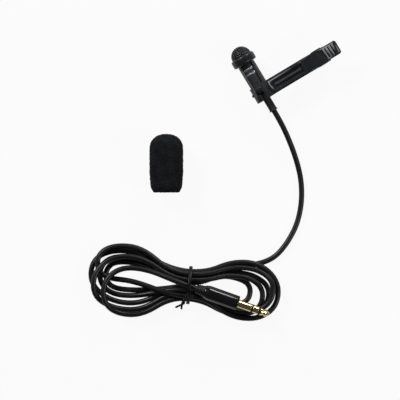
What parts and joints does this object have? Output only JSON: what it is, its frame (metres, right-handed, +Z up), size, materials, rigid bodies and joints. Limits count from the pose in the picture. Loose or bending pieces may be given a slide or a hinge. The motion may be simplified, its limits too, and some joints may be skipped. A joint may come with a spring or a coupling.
{
  "type": "lavalier microphone",
  "caption": "Clip-on microphone with a small domed head in a sprung clip, a tied thin cable with a stereo plug, and a foam windscreen laid beside it.",
  "frame": {"origin": "on the table, under the middle of head, clip and windscreen; the cable is left out", "axes": "+X along the clip to its finger end, +Y along the head to its dome, +Z up"},
  "size_m": [0.144, 0.1045, 0.0144],
  "materials": {
    "black_metal": "satin black anodised",
    "grille_metal": "matt black perforated sheet",
    "capsule_metal": "drawn, matt",
    "felt": "black felt",
    "black_rubber": "matt",
    "board": "solder resist",
    "barrel_metal": "satin black, bright turned bands",
    "crimp_metal": "pressed",
    "cable_jacket": "satin",
    "red_insulation": "matt",
    "copper": "bare",
    "clip_plastic": "satin moulded",
    "steel": "bright",
    "foam": "open-cell foam",
    "tie_plastic": "coated wire",
    "plug_rubber": "satin",
    "plug_plastic": "gloss moulded",
    "gold": "gold plated",
    "insulator": "matt"
  },
  "bodies": {
    "microphone": {"collar_ring": "black_metal", "grille_dome": "grille_metal", "capsule_can": "capsule_metal", "capsule_felt": "felt", "capsule_holder": "black_rubber", "capsule_board": "board", "barrel": "barrel_metal", "end_cap": "black_metal", "strain_relief_boot": "black_rubber", "cable_crimp": "crimp_metal", "cable_inner_end": "cable_jacket", "signal_wire": "red_insulation", "shield_wire": "copper", "cable_hank": "cable_jacket", "cable_lead": "cable_jacket", "hank_tie": "tie_plastic", "plug_relief": "plug_rubber", "plug_handle": "plug_plastic", "plug_sleeve": "gold", "plug_rear_insulator": "insulator", "plug_ring": "gold", "plug_front_insulator": "insulator", "plug_tip": "gold"},
    "clip": {"clip_jaw": "clip_plastic", "hinge_pin": "steel", "clip_spring": "steel"},
    "clip_lever": {"clip_lever": "clip_plastic"},
    "windscreen": {"windscreen": "foam"}
  },
  "joints": [
    {"name": "clip_swivel", "type": "hinge", "parent": "microphone", "child": "clip", "pos_m": [0.0126, -0.0018, 0.00525], "axis": [0, 1, 0], "continuous": true},
    {"name": "clip_open", "type": "hinge", "parent": "clip", "child": "clip_lever", "pos_m": [0.04019, -0.0018, 0.00528], "axis": [0, 1, 0], "range_deg": [0, 22], "stiffness_Nm_per_rad": 0.03, "springref_deg": -51.57, "deforming": ["clip_spring"]},
    {"name": "windscreen_slide", "type": "slide", "parent": "microphone", "child": "windscreen", "axis": [0.515, 0.8572, 0], "range_m": [0, 0.016]}
  ]
}
